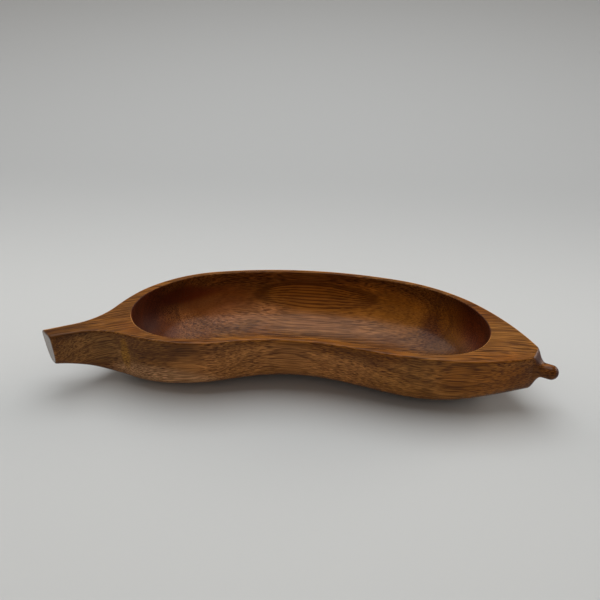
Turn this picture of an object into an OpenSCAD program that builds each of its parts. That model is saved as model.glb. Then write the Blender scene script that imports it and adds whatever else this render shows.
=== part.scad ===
// Banana bowl: a serving bowl carved from one piece of hardwood in the shape of a banana.
// Its flat top is a sawn face with a long rounded hollow carved into it. One end of the body runs out
// into a slender stem that is cut off at a slant, and the other ends in a small round nub.
// The outside is lofted along a centre line that lies in the flat top and bends in plan. Places along
// that line are measured from the middle of the bend: negative towards the stem, positive towards the tip.

/* [Bend] */
// Radius of the bend of the centre line, seen from above
bend_radius = 262; // [220:1:400]
// Angle that the centre line turns through from end to end, in degrees
bend_angle = 45.4; // [20:0.2:52]

/* [Body] */
// Greatest width across the body
body_width = 87; // [76:1:98]
// Height from the flat base to the flat top
body_height = 44; // [38:1:52]
// Length that keeps the full width, from the middle of the bend towards the stem
full_to_stem = 55; // [40:1:70]
// Length that keeps the full width, from the middle of the bend towards the tip
full_to_tip = 58; // [40:1:70]
// How far the concave side is pinched in at its waist
waist = 2; // [0:0.1:4]
// Place of the waist, from the middle of the bend
waist_place = -25; // [-35:1:15]
// Reach of the pinched waist to either side of that place
waist_reach = 85; // [50:1:95]
// Depth that is planed off the belly to make the flat base
base_cut = 1; // [0.5:0.1:3]
// Radius of the eased edge all round the flat top
edge_radius = 1.5; // [0.6:0.1:2.5]
// Squareness of the belly at its middle: 2 is an ellipse and more is squarer
middle_fullness = 2.8; // [2.2:0.1:3.6]
// Squareness of the belly where its two shoulders are squarest
shoulder_fullness = 3.9; // [2.6:0.1:5]
// Place of the squarest sections, to either side of the middle of the bend
shoulder_reach = 100; // [80:1:115]
// Squareness of the belly at the stem and at the tip
end_fullness = 2.6; // [2.1:0.1:3.4]

/* [Stem] */
// Length over which the body narrows to the stem
stem_taper = 100; // [85:1:120]
// Share of that taper that bulges out, before it flares in to the stem
stem_bulge = 0.68; // [0.5:0.01:0.8]
// Length of the slender stem
stem_length = 16; // [8:1:40]
// Width of the stem where it leaves the body
stem_width = 11; // [9:0.5:16]
// How far each side of the stem flares out at its cut end
stem_flare = 0.5; // [0:0.1:1.5]
// Place where the underside starts to sweep up to the stem, from the middle of the bend
stem_sweep_start = 97; // [75:1:105]
// Length of that sweep, the last of it past the cut end
stem_sweep_length = 91; // [85:1:115]
// Rise of that sweep
stem_sweep_rise = 21; // [14:0.5:26]
// Share of that sweep that curves upwards, before it levels out under the stem
stem_sweep_share = 0.46; // [0.3:0.01:0.7]
// How far the cut end is turned: millimetres along the stem for each millimetre across it
cut_turn = 0.42; // [0:0.01:0.6]
// How far the cut end leans out: millimetres along the stem for each millimetre of its depth
cut_lean = 0.06; // [0:0.01:0.2]
// Radius of the eased edge round the cut end
cut_radius = 1.2; // [0.4:0.1:2]
// Radius that the eased edges of the top grow to at the cut end
stem_edge_radius = 2.8; // [1:0.1:4]

/* [Tip] */
// Length over which the body narrows to the shoulder at the tip
tip_taper = 101.5; // [80:0.5:120]
// Width of the shoulder at the tip
tip_width = 12.4; // [10:0.2:16]
// Length of the sweep of the underside up to the shoulder
tip_sweep_length = 75; // [60:1:90]
// Rise of that sweep
tip_sweep_rise = 17.6; // [12:0.2:22]
// Diameter of the round nub
nub_diameter = 9.6; // [7:0.1:11]
// Length of the nub, from the shoulder to its rounded end
nub_length = 15.3; // [13:0.1:24]
// Drop from the flat top to the top of the nub
nub_drop = 7; // [4:0.1:9]
// Length of the hollowed blend from the shoulder to the nub
shoulder_blend = 6; // [4:0.5:8]

/* [Hollow] */
// Thickness of the rim on the convex side
rim_back = 3.8; // [2.4:0.1:6]
// Thickness of the rim on the concave side
rim_front = 5.5; // [2.4:0.1:7]
// Thickness of the wood under the hollow
floor_thickness = 9.5; // [5:0.5:14]
// Length of solid top between the stem and the hollow
stem_solid = 39.5; // [30:0.5:55]
// Length of solid top between the hollow and the shoulder at the tip
tip_solid = 31.5; // [22:0.5:45]
// Length of the rounded end of the hollow on the stem side
stem_round = 63; // [50:1:75]
// Length of the rounded end of the hollow on the tip side
tip_round = 66; // [55:1:80]
// Squareness of the rounded ends on the convex side: 2 is an ellipse and more is squarer
round_back = 2; // [1.6:0.05:2.4]
// Squareness of the rounded ends on the concave side
round_front = 2.15; // [1.8:0.05:2.8]
// Squareness of the hollow's section, from rim to rim
hollow_fullness = 2.7; // [2.2:0.1:4]
// Radius of the eased edge round the mouth of the hollow
mouth_radius = 0.9; // [0.4:0.1:1.5]

/* [Hidden] */

half_width = body_width / 2;
stem_root = -full_to_stem - stem_taper;
stem_end = stem_root - stem_length;
shoulder = full_to_tip + tip_taper;
neck = shoulder + shoulder_blend;
nub_radius = nub_diameter / 2;
nub_height = body_height - nub_drop - nub_radius;
ball_centre = shoulder + nub_length - nub_radius;
hollow_from = stem_root + stem_solid + stem_round;
hollow_to = shoulder - tip_solid - tip_round;

// The shoulder starts to round over this far before it ends
shoulder_easing = 1.5;
// Share of the blend from the shoulder to the nub that rounds over, before it hollows
shoulder_share = 0.35;
// The corner of a section grows to this share of the nub's radius, so the section becomes round
nub_corner = 0.96;
// The rounded end of the nub is closed by a small flat at this angle round it
nub_close = 80;
// The eased mouth of the hollow turns outwards to this angle
mouth_turn = 60;
// Cuts run this far past the wood
past = 2;

// Steps of the loft along each stretch of the body
stem_steps = 5;
taper_steps = 18;
middle_steps = 14;
blend_steps = 7;
neck_steps = 2;
ball_steps = 5;
// Steps round an eased edge, and round the belly of a section
easing_steps = 3;
belly_steps = 20;
// Steps round a quarter of the hollow's ends, along its sides, and down its wall
end_steps = 12;
side_steps = 14;
wall_steps = 11;

function mix(a, b, share) = a + (b - a) * share;
function spread(from, to, count) = [for (i = [0:count - 1]) mix(from, to, i / count)];

// Point at place s on the centre line, n across it towards the convex side, and height z.
// Past the ends of the bend the centre line runs straight on.
function place(s, n, z) =
    let (turn = max(-bend_angle / 2, min(bend_angle / 2, s / bend_radius * 180 / PI)),
         straight = s - turn * PI / 180 * bend_radius)
    [(bend_radius + n) * sin(turn) + straight * cos(turn),
     (bend_radius + n) * cos(turn) - straight * sin(turn) - bend_radius,
     z];

// Fall of an arc that starts level and has fallen by drop at the end of its run
function arc_fall(d, run, drop) =
    let (radius = (run * run + drop * drop) / (2 * drop), at = max(0, min(run, d)))
    radius - sqrt(radius * radius - at * at);

// Fall of two arcs that meet in one slope and are level at their far ends, the first over a share of the run
function ogee_fall(d, run, drop, share) =
    let (both = (run * run + drop * drop) / (2 * drop), first = both * share, second = both - first,
         at = max(0, min(run, d)))
    at < run * share ? first - sqrt(first * first - at * at)
                     : drop - second + sqrt(second * second - (run - at) * (run - at));

// Value that goes from a to b between two places, level at both
function ease(s, from, to, a, b) = mix(a, b, (1 - cos(180 * max(0, min(1, (s - from) / (to - from))))) / 2);

// Half width of the body at a place
function outline_at(s) =
    half_width
    - ogee_fall(-full_to_stem - s, stem_taper, half_width - stem_width / 2, stem_bulge)
    - arc_fall(s - full_to_tip, tip_taper, half_width - tip_width / 2)
    + stem_flare * pow(max(0, (stem_root - s) / stem_length), 2);

// What the waist takes off the concave side at a place
function waist_at(s) = ease(abs(s - waist_place), 0, waist_reach, waist, 0);

// Height of the lowest line of the underside, which dips below the base where the base is planed off
function keel_at(s) =
    ogee_fall(-stem_sweep_start - s, stem_sweep_length, stem_sweep_rise, stem_sweep_share)
    + arc_fall(s - shoulder + tip_sweep_length, tip_sweep_length, tip_sweep_rise)
    - base_cut;

// Squareness of the belly at a place
function fullness_at(s) =
    s < -shoulder_reach ? ease(s, stem_end, -shoulder_reach, end_fullness, shoulder_fullness)
    : s < shoulder_reach ? ease(abs(s), 0, shoulder_reach, middle_fullness, shoulder_fullness)
    : ease(s, shoulder_reach, shoulder, shoulder_fullness, end_fullness);

// How far a section has turned into the round nub, from 0 to 1, and the nub's radius there
function nub_share(s) =
    ogee_fall(s - shoulder + shoulder_easing, shoulder_blend + shoulder_easing, 1, shoulder_share);
function nub_radius_at(s) = sqrt(nub_radius * nub_radius - pow(max(0, s - ball_centre), 2));

// Section of the body as points across and up: the flat top, an eased corner, half a superellipse down to
// the keel and up again, and the other corner, from the concave side to the convex side.
// inset shrinks the section all round.
function section_at(s, inset) =
    let (share = nub_share(s),
         round = nub_radius_at(s),
         half = mix(outline_at(s), round, share) - inset,
         concave = half - waist_at(s),
         corner = mix(ease(s, stem_end, stem_root, stem_edge_radius, edge_radius), round * nub_corner, share),
         side = mix(body_height, nub_height + round, share) - inset - corner,
         depth = side - mix(keel_at(s), nub_height - round, share) - inset,
         power = 2 / mix(fullness_at(s), 2, share),
         corner_at = [for (i = [0:easing_steps - 1]) 90 * i / easing_steps])
    concat(
        [for (a = corner_at) [corner * (1 - sin(a)) - concave, side + corner * cos(a)]],
        [for (i = [0:belly_steps]) let (a = 180 * i / belly_steps, across = pow(abs(cos(a)), power))
            [a < 90 ? -concave * across : half * across, side - depth * pow(sin(a), power)]],
        [for (i = [easing_steps - 1:-1:0]) let (a = corner_at[i])
            [half - corner * (1 - sin(a)), side + corner * cos(a)]]);

// The stem is cut off at a slant, so the sections lean more and more towards its end
function slant_at(s, n, z) =
    ease(s, stem_end, stem_root, 1, 0) * (cut_turn * n + cut_lean * (z - nub_height));

// Ring of points round the body at a place
function body_ring(s, inset) =
    [for (p = section_at(s, inset)) place(s - slant_at(s, p[0], p[1]), p[0], p[1])];

// The rings from the eased edge of the cut end to the rounded end of the nub
body_rings = concat(
    [for (a = spread(0, 90, easing_steps))
        body_ring(stem_end + cut_radius * (1 - cos(a)), cut_radius * (1 - sin(a)))],
    [for (s = spread(stem_end + cut_radius, stem_root, stem_steps)) body_ring(s, 0)],
    [for (s = spread(stem_root, -full_to_stem, taper_steps)) body_ring(s, 0)],
    [for (s = spread(-full_to_stem, full_to_tip, middle_steps)) body_ring(s, 0)],
    [for (s = spread(full_to_tip, shoulder - shoulder_easing, taper_steps)) body_ring(s, 0)],
    [for (s = spread(shoulder - shoulder_easing, neck, blend_steps)) body_ring(s, 0)],
    [for (s = spread(neck, ball_centre, neck_steps)) body_ring(s, 0)],
    [for (i = [0:ball_steps]) body_ring(ball_centre + nub_radius * sin(nub_close * i / ball_steps), 0)]);

// Places along the hollow from the stem to the tip, as [middle part, length of a rounded end, share of it]
hollow_places = concat(
    [for (a = spread(0, 90, end_steps)) [hollow_from, -stem_round, cos(a)]],
    [for (s = spread(hollow_from, hollow_to, side_steps)) [s, 0, 0]],
    [for (i = [end_steps:-1:0]) [hollow_to, tip_round, cos(90 * i / end_steps)]]);

// Point of the hollow's outline at one of those places, on the convex side (1) or the concave side (-1).
// reach draws the outline in towards the floor, and grow widens it. The rim is never thinner than stated.
function hollow_point(at, across, reach, grow, z) =
    let (end = at[1] + sign(at[1]) * grow,
         rim = across > 0 ? rim_back : rim_front,
         fullness = across > 0 ? round_back : round_front,
         share = pow(1 - pow(at[2], fullness), 1 / fullness),
         half = min((half_width - rim) * share, outline_at(at[0] + at[1] * at[2]) - rim),
         s = at[0] + end * at[2] * reach,
         waisted = across > 0 ? half : half - waist_at(s) * share)
    place(s, across * reach * (waisted + grow * share), z);

// Level ring round the hollow at a height
function hollow_ring(reach, grow, z) =
    let (last = len(hollow_places) - 1)
    concat(
        [for (i = [0:last]) hollow_point(hollow_places[i], 1, reach, grow, z)],
        [for (i = [last - 1:-1:1]) hollow_point(hollow_places[i], -1, reach, grow, z)]);

// The rings down the hollow: its mouth above the top, the eased edge, and the wall down to the floor
wall_top = body_height - mouth_radius;
wall_power = 2 / hollow_fullness;
wall_depth = (wall_top - floor_thickness) / pow(cos(90 / wall_steps), wall_power);
mouth_run = (past + mouth_radius * (1 - sin(mouth_turn))) * tan(mouth_turn);
hollow_rings = concat(
    [hollow_ring(1, mouth_radius * (1 - cos(mouth_turn)) + mouth_run, body_height + past)],
    [for (a = spread(mouth_turn, 0, easing_steps))
        hollow_ring(1, mouth_radius * (1 - cos(a)), wall_top + mouth_radius * sin(a))],
    [for (i = [wall_steps:-1:1]) let (a = 90 * i / wall_steps)
        hollow_ring(pow(sin(a), wall_power), 0, wall_top - wall_depth * pow(cos(a), wall_power))]);

// The bowl's frame has its origin under the middle of the whole piece
low = [for (k = [0, 1]) min([for (r = body_rings, p = r) p[k]])];
high = [for (k = [0, 1]) max([for (r = body_rings, p = r) p[k]])];
span = high[0] - low[0];

// Closed skin through rings of equal length, with a flat end across the first and the last
module loft(rings) {
    count = len(rings[0]);
    last = (len(rings) - 1) * count;
    polyhedron(
        points = [for (r = rings) each r],
        faces = concat(
            [for (at = [0:count:last - count], k = [0:count - 1]) let (a = at + k, b = at + (k + 1) % count)
                each [[a, a + count, b + count], [a, b + count, b]]],
            [for (k = [0:ceil(count / 2) - 2]) let (m = count - 1 - k)
                each concat([[k, k + 1, m]], k + 1 < m - 1 ? [[k + 1, m - 1, m]] : [])],
            [for (k = [0:ceil(count / 2) - 2]) let (m = count - 1 - k)
                each concat([[last + k, last + m, last + k + 1]],
                    k + 1 < m - 1 ? [[last + k + 1, last + m, last + m - 1]] : [])]));
}

module bowl() {
    color("#8a5a2f")
    translate([-(low[0] + high[0]) / 2, -(low[1] + high[1]) / 2, 0])
    difference() {
        loft(body_rings);
        loft(hollow_rings);
        translate([-span, -span, -past - base_cut]) cube([2 * span, 2 * span, past + base_cut]);
    }
}

bowl();
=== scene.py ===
import math
import bpy
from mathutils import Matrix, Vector


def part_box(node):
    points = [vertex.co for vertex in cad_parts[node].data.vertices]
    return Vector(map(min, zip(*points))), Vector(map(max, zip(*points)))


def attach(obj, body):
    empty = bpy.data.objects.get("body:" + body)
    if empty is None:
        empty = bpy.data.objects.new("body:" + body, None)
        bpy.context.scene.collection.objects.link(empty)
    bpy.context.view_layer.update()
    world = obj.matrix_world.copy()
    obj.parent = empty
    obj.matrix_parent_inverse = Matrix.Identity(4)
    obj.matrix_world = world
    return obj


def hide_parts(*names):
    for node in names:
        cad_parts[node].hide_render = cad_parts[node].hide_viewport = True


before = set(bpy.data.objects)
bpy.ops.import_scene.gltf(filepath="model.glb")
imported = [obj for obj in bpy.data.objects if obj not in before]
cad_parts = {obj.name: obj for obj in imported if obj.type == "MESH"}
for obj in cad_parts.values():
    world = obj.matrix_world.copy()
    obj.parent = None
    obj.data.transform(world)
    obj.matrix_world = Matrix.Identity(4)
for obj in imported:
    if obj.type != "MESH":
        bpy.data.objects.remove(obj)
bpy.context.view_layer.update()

# The bowl
# One block of brown tropical hardwood, bandsawn to the outline of a banana. The flat top is the sawn face,
# the hollow is carved into it, and the belly, the stem and the nub are shaped and sanded round.
# Places along the bend run from its middle, negative towards the stem, as on the working drawing in mm.

MM = 0.001
SEAM_GAP = 0.001 * MM
BEND_RADIUS = 262
BEND_ANGLE = math.radians(45.4)
HALF_WIDTH = 43.5
HEIGHT = 44
FULL_TO_STEM, FULL_TO_TIP = 55, 58
WAIST, WAIST_PLACE, WAIST_REACH = 2, -25, 85
BASE_CUT = 1
EDGE_RADIUS, STEM_EDGE_RADIUS = 1.5, 2.8
MIDDLE_FULLNESS, SHOULDER_FULLNESS, END_FULLNESS = 2.8, 3.9, 2.6
SHOULDER_REACH = 100
STEM_TAPER, STEM_BULGE = 100, 0.68
STEM_LENGTH, STEM_WIDTH, STEM_FLARE = 16, 11, 0.5
STEM_SWEEP_START, STEM_SWEEP_LENGTH, STEM_SWEEP_RISE, STEM_SWEEP_SHARE = 97, 91, 21, 0.46
CUT_TURN, CUT_LEAN, CUT_RADIUS = 0.42, 0.06, 1.2
TIP_TAPER, TIP_WIDTH = 101.5, 12.4
TIP_SWEEP_LENGTH, TIP_SWEEP_RISE = 75, 17.6
NUB_RADIUS, NUB_LENGTH, NUB_DROP = 4.8, 15.3, 7
SHOULDER_BLEND, SHOULDER_EASING, SHOULDER_SHARE = 6, 1.5, 0.35
NUB_CORNER = 0.96

STEM_ROOT = -FULL_TO_STEM - STEM_TAPER
STEM_END = STEM_ROOT - STEM_LENGTH
SHOULDER = FULL_TO_TIP + TIP_TAPER
NECK = SHOULDER + SHOULDER_BLEND
NUB_HEIGHT = HEIGHT - NUB_DROP - NUB_RADIUS
BALL_CENTRE = SHOULDER + NUB_LENGTH - NUB_RADIUS


def mix(a, b, share):
    """Value that lies a share of the way from a to b"""
    return a + (b - a) * share


def spread(start, stop, count):
    """count values from start up to, but not including, stop"""
    return [mix(start, stop, i / count) for i in range(count)]


def place(s, n, z):
    """Point at s along the bend, n across it towards the convex side, and height z"""
    turn = max(-BEND_ANGLE / 2, min(BEND_ANGLE / 2, s / BEND_RADIUS))
    straight = s - turn * BEND_RADIUS
    x = (BEND_RADIUS + n) * math.sin(turn) + straight * math.cos(turn)
    y = (BEND_RADIUS + n) * math.cos(turn) - straight * math.sin(turn) - BEND_RADIUS
    return Vector((x, y, z)) * MM


def arc_fall(d, run, drop):
    """Fall of an arc that starts level and has fallen by drop at the end of its run"""
    radius = (run * run + drop * drop) / (2 * drop)
    at = max(0, min(run, d))
    return radius - math.sqrt(radius * radius - at * at)


def ogee_fall(d, run, drop, share):
    """Fall of two arcs that meet in one slope and are level at their far ends"""
    both = (run * run + drop * drop) / (2 * drop)
    first = both * share
    at = max(0, min(run, d))
    if at < run * share:
        return first - math.sqrt(first * first - at * at)
    second = both - first
    return drop - second + math.sqrt(second * second - (run - at) ** 2)


def ease(s, start, stop, a, b):
    """Value that goes from a to b between two places, level at both"""
    share = max(0, min(1, (s - start) / (stop - start)))
    return mix(a, b, (1 - math.cos(math.pi * share)) / 2)


def outline(s):
    """Half width of the body"""
    flare = STEM_FLARE * max(0, (STEM_ROOT - s) / STEM_LENGTH) ** 2
    stem_side = ogee_fall(-FULL_TO_STEM - s, STEM_TAPER, HALF_WIDTH - STEM_WIDTH / 2, STEM_BULGE)
    tip_side = arc_fall(s - FULL_TO_TIP, TIP_TAPER, HALF_WIDTH - TIP_WIDTH / 2)
    return HALF_WIDTH - stem_side - tip_side + flare


def waist(s):
    """What is pinched off the concave side"""
    return ease(abs(s - WAIST_PLACE), 0, WAIST_REACH, WAIST, 0)


def keel(s):
    """Height of the lowest line of the underside"""
    stem_sweep = ogee_fall(-STEM_SWEEP_START - s, STEM_SWEEP_LENGTH, STEM_SWEEP_RISE, STEM_SWEEP_SHARE)
    tip_sweep = arc_fall(s - SHOULDER + TIP_SWEEP_LENGTH, TIP_SWEEP_LENGTH, TIP_SWEEP_RISE)
    return stem_sweep + tip_sweep - BASE_CUT


def fullness(s):
    """Squareness of the belly: 2 is an ellipse and more is squarer"""
    if s < -SHOULDER_REACH:
        return ease(s, STEM_END, -SHOULDER_REACH, END_FULLNESS, SHOULDER_FULLNESS)
    if s < SHOULDER_REACH:
        return ease(abs(s), 0, SHOULDER_REACH, MIDDLE_FULLNESS, SHOULDER_FULLNESS)
    return ease(s, SHOULDER_REACH, SHOULDER, SHOULDER_FULLNESS, END_FULLNESS)


EASING_STEPS, BELLY_STEPS = 6, 44
corner_turns = spread(0, math.pi / 2, EASING_STEPS)


def body_ring(s, inset=0):
    """Ring of points round the outside at s: flat top, eased corner, belly and eased corner"""
    share = ogee_fall(s - SHOULDER + SHOULDER_EASING, SHOULDER_BLEND + SHOULDER_EASING, 1, SHOULDER_SHARE)
    nub = math.sqrt(NUB_RADIUS ** 2 - max(0, s - BALL_CENTRE) ** 2)
    half = mix(outline(s), nub, share) - inset
    concave = half - waist(s)
    corner = mix(ease(s, STEM_END, STEM_ROOT, STEM_EDGE_RADIUS, EDGE_RADIUS), nub * NUB_CORNER, share)
    side = mix(HEIGHT, NUB_HEIGHT + nub, share) - inset - corner
    depth = side - mix(keel(s), NUB_HEIGHT - nub, share) - inset
    power = 2 / mix(fullness(s), 2, share)
    section = [(corner * (1 - math.sin(a)) - concave, side + corner * math.cos(a)) for a in corner_turns]
    for i in range(BELLY_STEPS + 1):
        a = math.pi * i / BELLY_STEPS
        across = abs(math.cos(a)) ** power
        section.append((-concave * across if i < BELLY_STEPS / 2 else half * across,
                        side - depth * math.sin(a) ** power))
    section += [(half - corner * (1 - math.sin(a)), side + corner * math.cos(a))
                for a in reversed(corner_turns)]
    slant = ease(s, STEM_END, STEM_ROOT, 1, 0)
    return [place(s - slant * (CUT_TURN * n + CUT_LEAN * (z - NUB_HEIGHT)), n, z) for n, z in section]


def sheet_through(name, rings):
    """A flat sheet with a row for every ring is wrapped through the rings, seamed and closed at both ends"""
    rows, around = len(rings) - 1, len(rings[0])
    bpy.ops.object.select_all(action="DESELECT")
    bpy.ops.mesh.primitive_grid_add(x_subdivisions=rows, y_subdivisions=around, size=1)
    sheet = bpy.context.object
    sheet.name = sheet.data.name = name
    for vertex in sheet.data.vertices:
        row, column = round((vertex.co.x + 0.5) * rows), round((vertex.co.y + 0.5) * around)
        vertex.co = rings[row][column % around]
    bpy.ops.object.mode_set(mode="EDIT")
    bpy.ops.mesh.select_all(action="SELECT")
    bpy.ops.mesh.remove_doubles(threshold=SEAM_GAP)
    bpy.ops.mesh.fill_holes(sides=0)
    bpy.ops.mesh.select_all(action="SELECT")
    bpy.ops.mesh.normals_make_consistent(inside=False)
    bpy.ops.object.mode_set(mode="OBJECT")
    return sheet


# Rings of the eased cut, the stem, its taper, the belly, the tip's taper, the shoulder, the nub and its ball
STEM_RINGS, TAPER_RINGS, BELLY_RINGS, TIP_RINGS = 8, 36, 36, 40
SHOULDER_RINGS, NUB_RINGS, BALL_RINGS = 14, 4, 18
body_rings = [body_ring(STEM_END + CUT_RADIUS * (1 - math.cos(a)), CUT_RADIUS * (1 - math.sin(a)))
              for a in corner_turns]
body_rings += [body_ring(s) for s in spread(STEM_END + CUT_RADIUS, STEM_ROOT, STEM_RINGS)
               + spread(STEM_ROOT, -FULL_TO_STEM, TAPER_RINGS)
               + spread(-FULL_TO_STEM, FULL_TO_TIP, BELLY_RINGS)
               + spread(FULL_TO_TIP, SHOULDER - SHOULDER_EASING, TIP_RINGS)
               + spread(SHOULDER - SHOULDER_EASING, NECK, SHOULDER_RINGS)
               + spread(NECK, BALL_CENTRE, NUB_RINGS)]
body_rings += [body_ring(BALL_CENTRE + NUB_RADIUS * math.sin(a)) for a in spread(0, math.pi / 2, BALL_RINGS)]
bowl = sheet_through("carved_bowl", body_rings)

# The belly is planed flat where the bowl stands
bpy.ops.object.mode_set(mode="EDIT")
bpy.ops.mesh.select_all(action="SELECT")
bpy.ops.mesh.bisect(plane_co=(0, 0, 0), plane_no=(0, 0, -1), use_fill=True, clear_outer=True,
                    threshold=SEAM_GAP)
bpy.ops.object.mode_set(mode="OBJECT")

# The hollow is carved with level rings, from an eased mouth down to a rounded floor
RIM_BACK, RIM_FRONT = 3.8, 5.5
FLOOR_THICKNESS = 9.5
STEM_SOLID, TIP_SOLID = 39.5, 31.5
STEM_ROUND, TIP_ROUND = 63, 66
ROUND_BACK, ROUND_FRONT = 2, 2.15
HOLLOW_FULLNESS = 2.7
MOUTH_RADIUS, MOUTH_TURN = 0.9, math.radians(60)
CUTTER_PAST_TOP = 2
HOLLOW_FROM = STEM_ROOT + STEM_SOLID + STEM_ROUND
HOLLOW_TO = SHOULDER - TIP_SOLID - TIP_ROUND
END_STEPS, SIDE_STEPS, WALL_STEPS = 30, 36, 26

quarter_turn = spread(0, math.pi / 2, END_STEPS)
hollow_places = [(HOLLOW_FROM, -STEM_ROUND, math.cos(a)) for a in quarter_turn]
hollow_places += [(s, 0, 0) for s in spread(HOLLOW_FROM, HOLLOW_TO, SIDE_STEPS)]
hollow_places += [(HOLLOW_TO, TIP_ROUND, math.cos(a)) for a in reversed(quarter_turn + [math.pi / 2])]


def hollow_point(at, side, reach, grow, z):
    """Point of a level ring on the convex side (1) or the concave side (-1), drawn in by reach"""
    middle, end, share = at
    rim, squareness = (RIM_BACK, ROUND_BACK) if side > 0 else (RIM_FRONT, ROUND_FRONT)
    width = (1 - share ** squareness) ** (1 / squareness)
    half = min((HALF_WIDTH - rim) * width, outline(middle + end * share) - rim)
    s = middle + (end + math.copysign(grow, end) * (end != 0)) * share * reach
    if side < 0:
        half -= waist(s) * width
    return place(s, side * reach * (half + grow * width), z)


def hollow_ring(reach, grow, z):
    """Level ring of the hollow, drawn in by reach and let out by grow"""
    there = [hollow_point(at, 1, reach, grow, z) for at in hollow_places]
    back = [hollow_point(at, -1, reach, grow, z) for at in reversed(hollow_places[1:-1])]
    return there + back


wall_top = HEIGHT - MOUTH_RADIUS
wall_power = 2 / HOLLOW_FULLNESS
wall_depth = (wall_top - FLOOR_THICKNESS) / math.cos(math.pi / 2 / WALL_STEPS) ** wall_power
mouth_run = (CUTTER_PAST_TOP + MOUTH_RADIUS * (1 - math.sin(MOUTH_TURN))) * math.tan(MOUTH_TURN)
mouth_flare = MOUTH_RADIUS * (1 - math.cos(MOUTH_TURN)) + mouth_run
hollow_rings = [hollow_ring(1, mouth_flare, HEIGHT + CUTTER_PAST_TOP)]
hollow_rings += [hollow_ring(1, MOUTH_RADIUS * (1 - math.cos(a)), wall_top + MOUTH_RADIUS * math.sin(a))
                 for a in spread(MOUTH_TURN, 0, EASING_STEPS)]
hollow_rings += [hollow_ring(math.cos(a) ** wall_power, 0, wall_top - wall_depth * math.sin(a) ** wall_power)
                 for a in spread(0, math.pi / 2, WALL_STEPS)]
gouge = sheet_through("hollow_cutter", hollow_rings)

bpy.ops.object.select_all(action="DESELECT")
bowl.select_set(True)
bpy.context.view_layer.objects.active = bowl
carve = bowl.modifiers.new("hollow", "BOOLEAN")
carve.operation = "DIFFERENCE"
carve.solver = "EXACT"
carve.object = gouge
bpy.ops.object.modifier_apply(modifier=carve.name)
bpy.data.objects.remove(gouge)

# The block is laid where the frame's own bowl is
low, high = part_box("bowl")
corners = [v.co for v in bowl.data.vertices]
for axis in (0, 1):
    own = (min(c[axis] for c in corners) + max(c[axis] for c in corners)) / 2
    shift = (low[axis] + high[axis]) / 2 - own
    for v in bowl.data.vertices:
        v.co[axis] += shift

CREASE_ANGLE = math.radians(28)
bpy.ops.object.shade_smooth_by_angle(angle=CREASE_ANGLE)
sanded = bowl.modifiers.new("flat faces keep flat shading", "WEIGHTED_NORMAL")
sanded.keep_sharp = True
bpy.ops.object.modifier_apply(modifier=sanded.name)

# Oiled monkeypod: golden brown, with redder heartwood, long open pores that read as fine dark dashes along
# the grain, and parts where interlocked grain turns light or dark. It is sanded and rubbed with oil, which
# deepens the colour and leaves a soft sheen without a film.


def linear(hex_colour):
    """sRGB hex to linear"""
    parts = [int(hex_colour[i:i + 2], 16) / 255 for i in (1, 3, 5)]
    return tuple(p / 12.92 if p <= 0.04045 else ((p + 0.055) / 1.055) ** 2.4 for p in parts) + (1,)


def add(tree, kind, inputs=None, **settings):
    """Adds a node: settings are its own properties, and inputs gives a socket a value or a link"""
    node = tree.nodes.new("ShaderNode" + kind)
    for name, value in settings.items():
        setattr(node, name, value)
    for name, value in (inputs or {}).items():
        if isinstance(value, bpy.types.NodeSocket):
            tree.links.new(value, node.inputs[name])
        else:
            node.inputs[name].default_value = value
    return node


oiled = bpy.data.materials.new("oiled_monkeypod")
oiled.use_nodes = True
wood = oiled.node_tree
wood.nodes.clear()
where = add(wood, "TexCoord")
block = add(wood, "Mapping", {"Vector": where.outputs["Object"], "Scale": (1 / MM, 1 / MM, 1 / MM)})
along = add(wood, "SeparateXYZ", {0: block.outputs[0]})

# The grain runs along the block and wanders across it, the year layers further than the fibres. Towards
# the stem it also swings across the flat top, and down the sides, by this much for each millimetre.
DRIFT_SPAN = 60
PART_DRIFT, FIBRE_DRIFT, LAYER_DRIFT = (0, 12, 20), (0, 2.5, 3.5), (0, 9.5, 16.5)
SWING_FROM, SWING_EASING, SWING_ACROSS, SWING_DOWN = -80, 30, 0.35, 0.33
TOP_DEPTH = 1.2
drift = add(wood, "TexNoise", {"Vector": block.outputs[0], "Scale": 1 / DRIFT_SPAN, "Detail": 1})
centred = add(wood, "VectorMath", {0: drift.outputs["Color"], 1: (0.5, 0.5, 0.5)}, operation="SUBTRACT")
swayed = add(wood, "VectorMath", {0: centred.outputs[0], 1: PART_DRIFT, 2: block.outputs[0]},
             operation="MULTIPLY_ADD")
grain = add(wood, "VectorMath", {0: centred.outputs[0], 1: FIBRE_DRIFT, 2: block.outputs[0]},
            operation="MULTIPLY_ADD")
past_root = add(wood, "Math", {0: along.outputs["X"], 1: SWING_FROM, 2: SWING_EASING},
                operation="SMOOTH_MIN")
on_top = add(wood, "Math", {0: along.outputs["Z"], 1: HEIGHT - TOP_DEPTH}, operation="GREATER_THAN")
swing_way = add(wood, "Mix", {0: on_top.outputs[0], 4: (0, 0, -SWING_DOWN), 5: (0, -SWING_ACROSS, 0)},
                data_type="VECTOR")
swing = add(wood, "VectorMath", {0: past_root.outputs[0], 1: swing_way.outputs[1], 2: grain.outputs[0]},
            operation="MULTIPLY_ADD")

# Year layers lie round the pith of the tree, which is behind and below the block
PITH_BEHIND, PITH_BELOW = 150, 35
layers = add(wood, "VectorMath", {0: centred.outputs[0], 1: LAYER_DRIFT, 2: swing.outputs[0]},
             operation="MULTIPLY_ADD")
across = add(wood, "VectorMath", {0: layers.outputs[0], 1: (0, 1, 1), 2: (0, -PITH_BEHIND, PITH_BELOW)},
             operation="MULTIPLY_ADD")
age = add(wood, "VectorMath", {0: across.outputs[0]}, operation="LENGTH")

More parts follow.
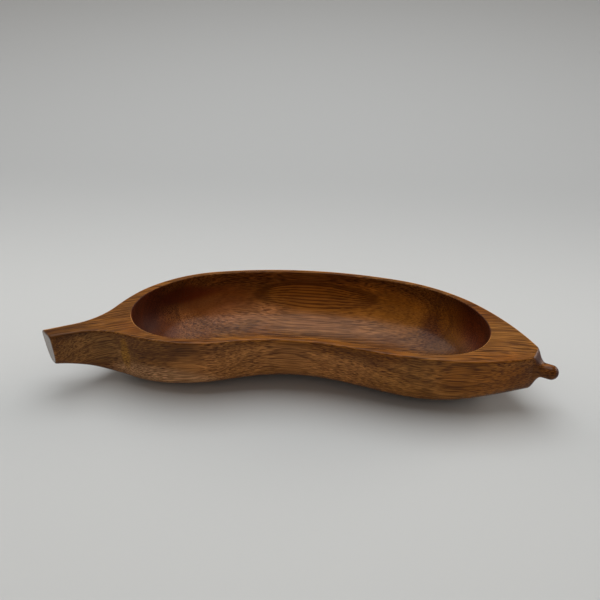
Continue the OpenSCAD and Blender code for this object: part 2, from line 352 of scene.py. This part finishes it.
# Where the back of the hollow grazes a layer, its rings close to a long eye that is pinched at both ends
EYE_PLACE, EYE_SIZE, EYE_RUFFLE = (9, 42.8, 25.5), (46, 11, 11), (30, 6, 6)
EYE_LINES, EYE_PINCH = 2.3, 0.2
in_eye = add(wood, "VectorMath", {0: block.outputs[0], 1: EYE_PLACE}, operation="SUBTRACT")
ruffled = add(wood, "VectorMath", {0: centred.outputs[0], 1: EYE_RUFFLE, 2: in_eye.outputs[0]},
              operation="MULTIPLY_ADD")
eye_scaled = add(wood, "VectorMath", {0: ruffled.outputs[0], 1: EYE_SIZE}, operation="DIVIDE")
eye_reach = add(wood, "VectorMath", {0: eye_scaled.outputs[0]}, operation="LENGTH")
eye_share = add(wood, "MapRange", {"Value": eye_reach.outputs["Value"], "From Min": 1.15, "From Max": 0.85},
                interpolation_type="SMOOTHSTEP")
eye_at = add(wood, "SeparateXYZ", {0: eye_scaled.outputs[0]})
eye_far = add(wood, "Math", {0: eye_at.outputs["X"], 1: eye_at.outputs["X"]}, operation="MULTIPLY")
pinched = add(wood, "MapRange", {"Value": eye_far.outputs[0], "To Min": 1 / EYE_SIZE[2],
                                 "To Max": EYE_PINCH / EYE_SIZE[2]})
eye_age = add(wood, "Math", {0: eye_at.outputs["Z"], 1: pinched.outputs[0]}, operation="DIVIDE")
ring_age = add(wood, "Mix", {0: eye_share.outputs[0], 2: age.outputs["Value"], 3: eye_age.outputs[0]},
               data_type="FLOAT")

# The real vessel lines are 0.2 to 0.3 mm wide: they are drawn wider, so that they show
RING_WIDTH, LINE_SPACING = 7, 2.2
PORE_LENGTH, PORE_WIDTH, PORE_DEPTH = 22, 0.55, 0.42
FIBRE_LENGTH, FIBRE_WIDTH, FIBRE_DEPTH = 36, 0.65, 0.48
RIBBON_LENGTH, RIBBON_WIDTH, ZONE_SIZE = 14, 40, 36
years = add(wood, "TexNoise", {"W": ring_age.outputs[0], "Scale": 1 / RING_WIDTH, "Detail": 3,
                               "Roughness": 0.6}, noise_dimensions="1D")
lines = add(wood, "TexNoise", {"W": ring_age.outputs[0], "Scale": 1 / LINE_SPACING, "Detail": 2,
                               "Roughness": 0.6}, noise_dimensions="1D")
streaks = add(wood, "Mapping", {"Vector": swing.outputs[0],
                                "Scale": (1 / FIBRE_LENGTH, 1 / FIBRE_WIDTH, 1 / FIBRE_DEPTH)})
fibres = add(wood, "TexNoise", {"Vector": streaks.outputs[0], "Scale": 1, "Detail": 1, "Roughness": 0.5})
dashes = add(wood, "Mapping", {"Vector": swing.outputs[0],
                               "Scale": (1 / PORE_LENGTH, 1 / PORE_WIDTH, 1 / PORE_DEPTH)})
pores = add(wood, "TexNoise", {"Vector": dashes.outputs[0], "Scale": 1, "Detail": 0})
ribbon = add(wood, "Mapping", {"Vector": block.outputs[0],
                               "Scale": (1 / RIBBON_LENGTH, 1 / RIBBON_WIDTH, 1 / RIBBON_WIDTH)})
turned = add(wood, "TexNoise", {"Vector": ribbon.outputs[0], "Scale": 1, "Detail": 2})
zone = add(wood, "TexNoise", {"Vector": swayed.outputs[0], "Scale": 1 / ZONE_SIZE, "Detail": 1})

PALE_WOOD, RED_WOOD, MOST_RED = "#8e5b28", "#7a3a10", 0.4
zone_share = add(wood, "MapRange", {"Value": zone.outputs[0], "From Min": 0.45, "From Max": 0.65,
                                    "To Max": MOST_RED})
reddened = add(wood, "Mix", {0: zone_share.outputs[0], 6: linear(PALE_WOOD), 7: linear(RED_WOOD)},
               data_type="RGBA")

# Paler and darker parts, some of them painted light as marked, each laid over those before it: its middle and
# half its size in mm, its colour, how much of it shows, and how far it calms the fibres and pores
# The next five are painted light: fill light on the fronts of belly, stem and tip, bounce light low on the
# belly
PARTS_AND_PAINTED_LIGHT = [((-8, -40, 18), (88, 22, 30), "#d68f4c", 0.85, 0),
         ((85, -52, 18), (58, 18, 30), "#c88640", 0.8, 0),
         ((-88, -42, 8), (45, 22, 14), "#ecb078", 0.9, 0),
         ((-135, -38, 27), (32, 14, 16), "#c08a4c", 0.5, 0),
         ((122, -50, 32), (36, 16, 22), "#b86c18", 0.6, 0),
         ((-113, -38, 26), (3.5, 8, 18), "#d09020", 0.5, 0),
         ((-158, -38, 44), (28, 20, 8), "#4a2e16", 0.55, 0),
         ((15, -39, 43.5), (76, 13, 6), "#945610", 0.6, 0),
         ((128, -25, 44), (30, 32, 5), "#bc803c", 0.4, 0),
         # The hollow's floor: a little darker nearer the front rim, then two pale bands of painted sheen
         # towards the back
         ((15, 5, 10), (85, 24, 12), "#84562c", 0.5, 0.1),
         ((15, 27, 13), (85, 13, 9), "#c08450", 0.5, 0.2),
         ((-45, 30, 17), (45, 12, 7), "#d8905a", 0.55, 0),
         ((30, 38, 26), (75, 20, 14), "#c07828", 0.75, 0.2),
         ((68, 28, 24), (28, 18, 14), "#a4641c", 0.6, 0.4),
         ((-60, 30, 28), (38, 16, 13), "#7c3c14", 0.6, 0.7),
         ((-80, 26, 36), (40, 18, 7), "#5a1608", 0.75, 0.6),
         ((94, 18, 22), (14, 14, 12), "#5a1e08", 0.5, 0),
         ((102, 2, 14), (22, 16, 9), "#5e360c", 0.6, 0.3),
         ((110, 6, 30), (24, 30, 14), "#bc761e", 0.6, 0.2),
         ((-92, 16, 21), (20, 16, 9), "#b8703a", 0.4, 0),
         ((-99, 3, 17), (15, 14, 8), "#541e08", 0.6, 0.4),
         ((9, 42, 25), (44, 14, 10), "#7c4414", 0.45, 0),
         ((6, 19, 10), (9, 5, 6), "#5a3a1c", 0.5, 0)]
FULL_WITHIN, GONE_BEYOND = 0.55, 1.15
patched_and_painted_light, busy = reddened.outputs[2], 1
for middle, half_size, colour, share, calm in PARTS_AND_PAINTED_LIGHT:
    away = add(wood, "VectorMath", {0: swayed.outputs[0], 1: middle}, operation="SUBTRACT")
    scaled = add(wood, "VectorMath", {0: away.outputs[0], 1: half_size}, operation="DIVIDE")
    reach = add(wood, "VectorMath", {0: scaled.outputs[0]}, operation="LENGTH")
    part = add(wood, "MapRange", {"Value": reach.outputs["Value"], "From Min": GONE_BEYOND,
                                  "From Max": FULL_WITHIN, "To Max": share},
               interpolation_type="SMOOTHSTEP")
    patched_and_painted_light = add(wood, "Mix", {0: part.outputs[0], 6: patched_and_painted_light, 7: linear(colour)},
                  data_type="RGBA").outputs[2]
    if calm:
        calmed = add(wood, "MapRange", {"Value": part.outputs[0], "From Max": share, "To Min": 1,
                                        "To Max": 1 - calm})
        busy = add(wood, "Math", {0: calmed.outputs[0], 1: busy}, operation="MULTIPLY").outputs[0]

# Darker fibres stain the ground, more so in the darker part of a year, and less in the eye
FIBRE_STAIN, EYE_CALM, YEAR_WEIGHT = "#8e817c", 0.5, 0.35
calm_eye = add(wood, "MapRange", {"Value": eye_share.outputs[0], "To Min": 1, "To Max": EYE_CALM})
busy = add(wood, "Math", {0: calm_eye.outputs[0], 1: busy}, operation="MULTIPLY").outputs[0]
tone = add(wood, "Math", {0: years.outputs[0], 1: YEAR_WEIGHT, 2: fibres.outputs[0]},
           operation="MULTIPLY_ADD")
dark_share = add(wood, "MapRange", {"Value": tone.outputs[0], "From Min": 0.56, "From Max": 0.9,
                                    "To Max": busy})
ground = add(wood, "Mix", {0: dark_share.outputs[0], 6: patched_and_painted_light, 7: linear(FIBRE_STAIN)},
             data_type="RGBA", blend_type="MULTIPLY")

# Fine lines follow the year layers. In the eye they are closer and ruffled by the fibres.
LINE_COLOUR, MOST_LINE, MOST_EYE_LINE, LINE_RUFFLE = "#4c2508", 0.35, 0.75, 4
ruffle = add(wood, "Math", {0: fibres.outputs[0], 1: LINE_RUFFLE, 2: turned.outputs[0]},
             operation="MULTIPLY_ADD")
phase = add(wood, "Math", {0: eye_age.outputs[0], 1: 2 * math.pi / EYE_LINES, 2: ruffle.outputs[0]},
            operation="MULTIPLY_ADD")
contour = add(wood, "Math", {0: phase.outputs[0]}, operation="SINE")
contours = add(wood, "MapRange", {"Value": contour.outputs[0], "From Min": -1, "From Max": 1,
                                  "To Min": 0.4, "To Max": 0.68})
line_value = add(wood, "Mix", {0: eye_share.outputs[0], 2: lines.outputs[0], 3: contours.outputs[0]},
                 data_type="FLOAT")
line_most = add(wood, "MapRange", {"Value": eye_share.outputs[0], "To Min": MOST_LINE,
                                   "To Max": MOST_EYE_LINE})
busy_lines = add(wood, "Math", {0: busy, 1: eye_share.outputs[0]}, operation="MAXIMUM")
line_busy = add(wood, "Math", {0: line_most.outputs[0], 1: busy_lines.outputs[0]}, operation="MULTIPLY")
line_share = add(wood, "MapRange", {"Value": line_value.outputs[0], "From Min": 0.52, "From Max": 0.66,
                                    "To Max": line_busy.outputs[0]}, interpolation_type="SMOOTHSTEP")
lined = add(wood, "Mix", {0: line_share.outputs[0], 6: ground.outputs[2], 7: linear(LINE_COLOUR)},
            data_type="RGBA")

# The eye has a dark rim, which fades towards the floor of the hollow
EYE_RIM, MOST_RIM, RIM_GONE_AT, RIM_FULL_AT = 0.92, 0.65, 17, 26
off_rim = add(wood, "Math", {0: eye_reach.outputs["Value"], 1: EYE_RIM}, operation="SUBTRACT")
rim_gap = add(wood, "Math", {0: off_rim.outputs[0]}, operation="ABSOLUTE")
above_floor = add(wood, "MapRange", {"Value": along.outputs["Z"], "From Min": RIM_GONE_AT,
                                     "From Max": RIM_FULL_AT, "To Max": MOST_RIM})
rim_share = add(wood, "MapRange", {"Value": rim_gap.outputs[0], "From Min": 0.2, "From Max": 0.04,
                                   "To Max": above_floor.outputs[0]}, interpolation_type="SMOOTHSTEP")
rimmed = add(wood, "Mix", {0: rim_share.outputs[0], 6: lined.outputs[2], 7: linear(LINE_COLOUR)},
             data_type="RGBA")

# Interlocked grain turns light and dark in ribbons, and the open pores are darkest
PORE_COLOUR, MOST_PORE, RIBBON_TONE = "#2e1406", 0.65, 0.14
turn_tone = add(wood, "MapRange", {"Value": turned.outputs[0], "From Min": 0.3, "From Max": 0.7,
                                   "To Min": 1 - RIBBON_TONE, "To Max": 1 + RIBBON_TONE})
shaded = add(wood, "VectorMath", {0: rimmed.outputs[2], 3: turn_tone.outputs[0]}, operation="SCALE")
pore_most = add(wood, "Math", {0: busy, 1: MOST_PORE}, operation="MULTIPLY")
open_pores = add(wood, "MapRange", {"Value": pores.outputs[0], "From Min": 0.53, "From Max": 0.63,
                                    "To Max": pore_most.outputs[0]}, interpolation_type="SMOOTHSTEP")
pored = add(wood, "Mix", {0: open_pores.outputs[0], 6: shaded.outputs[0], 7: linear(PORE_COLOUR)},
            data_type="RGBA")

# The eased edges that face the convex side, at the mouth along the front rim and along the back rim, carry a
# painted highlight: pale from this depth below the flat top up
PAINTED_EDGE_HIGHLIGHT, HIGHLIGHT_FROM, HIGHLIGHT_FULL = "#c08a4c", 1.3, 0.7
face = add(wood, "SeparateXYZ", {0: where.outputs["Normal"]})
highlight_faces = add(wood, "MapRange", {"Value": face.outputs["Y"], "From Min": 0.03, "From Max": 0.18})
highlight_share = add(wood, "MapRange", {"Value": along.outputs["Z"], "From Min": HEIGHT - HIGHLIGHT_FROM,
                                    "From Max": HEIGHT - HIGHLIGHT_FULL, "To Max": highlight_faces.outputs[0]})
with_painted_edge_highlight = add(wood, "Mix", {0: highlight_share.outputs[0], 6: pored.outputs[2], 7: linear(PAINTED_EDGE_HIGHLIGHT)},
             data_type="RGBA")

# Where a surface cuts across the grain it drinks the oil, and is darker, redder and more matt
END_STAIN, END_DULL = "#956c61", 0.3
across_grain = add(wood, "Math", {0: face.outputs["X"]}, operation="ABSOLUTE")
thirsty = add(wood, "MapRange", {"Value": across_grain.outputs[0], "From Min": 0.3, "From Max": 0.8},
              interpolation_type="SMOOTHSTEP")
drunk = add(wood, "Mix", {0: thirsty.outputs[0], 6: with_painted_edge_highlight.outputs[2], 7: linear(END_STAIN)},
            data_type="RGBA", blend_type="MULTIPLY")

# The sawn end of the stem is glossy under a coat, and its grey colour is partly bare end grain and partly a
# painted reflection of the pale surroundings
END_GRAIN_AND_PAINTED_REFLECTION, END_FROM, END_FULL = "#6e5a48", -150, -156
end_faces = add(wood, "MapRange", {"Value": face.outputs["X"], "From Min": -0.45, "From Max": -0.62})
near_end = add(wood, "MapRange", {"Value": along.outputs["X"], "From Min": END_FROM,
                                  "From Max": END_FULL})
end_share = add(wood, "Math", {0: end_faces.outputs[0], 1: near_end.outputs[0]}, operation="MULTIPLY")
ended_with_painted_reflection = add(wood, "Mix", {0: end_share.outputs[0], 6: drunk.outputs[2], 7: linear(END_GRAIN_AND_PAINTED_REFLECTION)},
            data_type="RGBA")

# Fibres and pores stand in low relief, and the oil shines less on the fibres that soak it up
SMOOTHEST, ROUGHEST, RELIEF = 0.13, 0.24, 0.08
sheen = add(wood, "MapRange", {"Value": fibres.outputs[0], "From Min": 0.3, "From Max": 0.7,
                               "To Min": SMOOTHEST, "To Max": ROUGHEST})
dull = add(wood, "Math", {0: thirsty.outputs[0], 1: END_DULL, 2: sheen.outputs[0]},
           operation="MULTIPLY_ADD")
relief = add(wood, "Math", {0: fibres.outputs[0], 1: open_pores.outputs[0]}, operation="SUBTRACT")
bump = add(wood, "Bump", {"Height": relief.outputs[0], "Strength": 0.6, "Distance": RELIEF * MM})
oil = add(wood, "BsdfPrincipled", {"Base Color": ended_with_painted_reflection.outputs[2], "Roughness": dull.outputs[0],
                                   "Normal": bump.outputs[0], "IOR": 1.47, "Specular IOR Level": 0.12,
                                   "Coat Weight": end_share.outputs[0], "Coat Roughness": 0.2})
add(wood, "OutputMaterial", {"Surface": oil.outputs[0]})

bowl.data.materials.clear()
bowl.data.materials.append(oiled)
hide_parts("bowl")
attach(bowl, "root")

# The floor
# A wide sheet of matt white photo paper, laid flat. Its colour greys towards the back: painted shade, where
# it leaves the light.
# Its size and the places where it greys are in metres.

FLOOR_SIZE = 8
NEAR_PAPER, FAR_PAPER_IN_PAINTED_SHADE = "#cbccca", "#b0b1b0"
GREYS_FROM, GREYS_TO = 0.02, 0.3
bpy.ops.object.select_all(action="DESELECT")
bpy.ops.mesh.primitive_plane_add(size=FLOOR_SIZE, location=(0, 0, 0))
floor = bpy.context.object
floor.name = "paper_floor"
paper = bpy.data.materials.new("matt_white_paper")
paper.use_nodes = True
pulp = paper.node_tree
pulp.nodes.clear()
spot = add(pulp, "TexCoord")
depth = add(pulp, "SeparateXYZ", {0: spot.outputs["Object"]})
painted_shade_share = add(pulp, "MapRange", {"Value": depth.outputs["Y"], "From Min": GREYS_FROM, "From Max": GREYS_TO},
                interpolation_type="SMOOTHSTEP")
pulp_tone = add(pulp, "Mix", {0: painted_shade_share.outputs[0], 6: linear(NEAR_PAPER), 7: linear(FAR_PAPER_IN_PAINTED_SHADE)},
                data_type="RGBA")
surface = add(pulp, "BsdfPrincipled", {"Base Color": pulp_tone.outputs[2], "Roughness": 0.9,
                                       "Specular IOR Level": 0.2})
add(pulp, "OutputMaterial", {"Surface": surface.outputs[0]})
floor.data.materials.append(paper)

# The light
# One wide soft light hangs overhead and a little behind the bowl, in a dim room that fills the shadows.
# The room's side walls shine from behind the bowl up to half height, the right one more than the left.

ROOM_LIGHT, LEFT_LIGHT, RIGHT_LIGHT = 0.21, 4.0, 7.4
ROOM_TINT = "#fff8f2"
room = bpy.data.worlds.new("pale_room")
bpy.context.scene.world = room
room.use_nodes = True
air = room.node_tree
air.nodes.clear()
sky = add(air, "TexCoord")
heading = add(air, "SeparateXYZ", {0: sky.outputs["Generated"]})
to_side = add(air, "Math", {0: heading.outputs["X"]}, operation="ABSOLUTE")
side_share = add(air, "MapRange", {"Value": to_side.outputs[0], "From Min": 0.55, "From Max": 0.8},
                 interpolation_type="SMOOTHSTEP")
wall = add(air, "MapRange", {"Value": heading.outputs["X"], "From Min": -0.7, "From Max": 0.7,
                             "To Min": LEFT_LIGHT, "To Max": RIGHT_LIGHT})
behind = add(air, "MapRange", {"Value": heading.outputs["Y"], "From Min": -0.02, "From Max": 0.7,
                               "To Max": wall.outputs[0]}, interpolation_type="SMOOTHSTEP")
low_wall = add(air, "MapRange", {"Value": heading.outputs["Z"], "From Min": 0.66, "From Max": 0.46,
                                 "To Max": behind.outputs[0]}, interpolation_type="SMOOTHSTEP")
walls = add(air, "Math", {0: side_share.outputs[0], 1: low_wall.outputs[0], 2: ROOM_LIGHT},
            operation="MULTIPLY_ADD")
glow = add(air, "Background", {"Color": linear(ROOM_TINT), "Strength": walls.outputs[0]})
add(air, "OutputWorld", {"Surface": glow.outputs[0]})

LIGHT_DISTANCE, LIGHT_ELEVATION, LIGHT_TO_SIDE = 1.05, math.radians(74), -0.04
LIGHT_SIZE, LIGHT_WATTS, LIGHT_TINT = 0.94, 8.8, (0.97, 1, 1.03)
bpy.ops.object.select_all(action="DESELECT")
overhead = Vector((LIGHT_TO_SIDE, math.cos(LIGHT_ELEVATION), math.sin(LIGHT_ELEVATION))) * LIGHT_DISTANCE
bpy.ops.object.light_add(type="AREA", location=overhead)
softbox = bpy.context.object
softbox.name = "softbox"
softbox.rotation_euler = overhead.to_track_quat("Z", "Y").to_euler()
softbox.data.shape = "SQUARE"
softbox.data.size = LIGHT_SIZE
softbox.data.energy = LIGHT_WATTS
softbox.data.color = LIGHT_TINT

# The camera
# It stands in front of the concave side, a little towards the nub, and looks down at about 35 degrees.
# Its place is in metres.

CAMERA_PLACE = Vector((0.0378, -0.46879, 0.37615))
CAMERA_AIM = Vector((-0.06675, 0.82001, -0.56845))
LENS = 51
bpy.ops.object.select_all(action="DESELECT")
bpy.ops.object.camera_add(location=CAMERA_PLACE, rotation=CAMERA_AIM.to_track_quat("-Z", "Y").to_euler())
camera = bpy.context.object
camera.data.lens = LENS
bpy.context.scene.camera = camera
bpy.context.scene.view_settings.view_transform = "Standard"
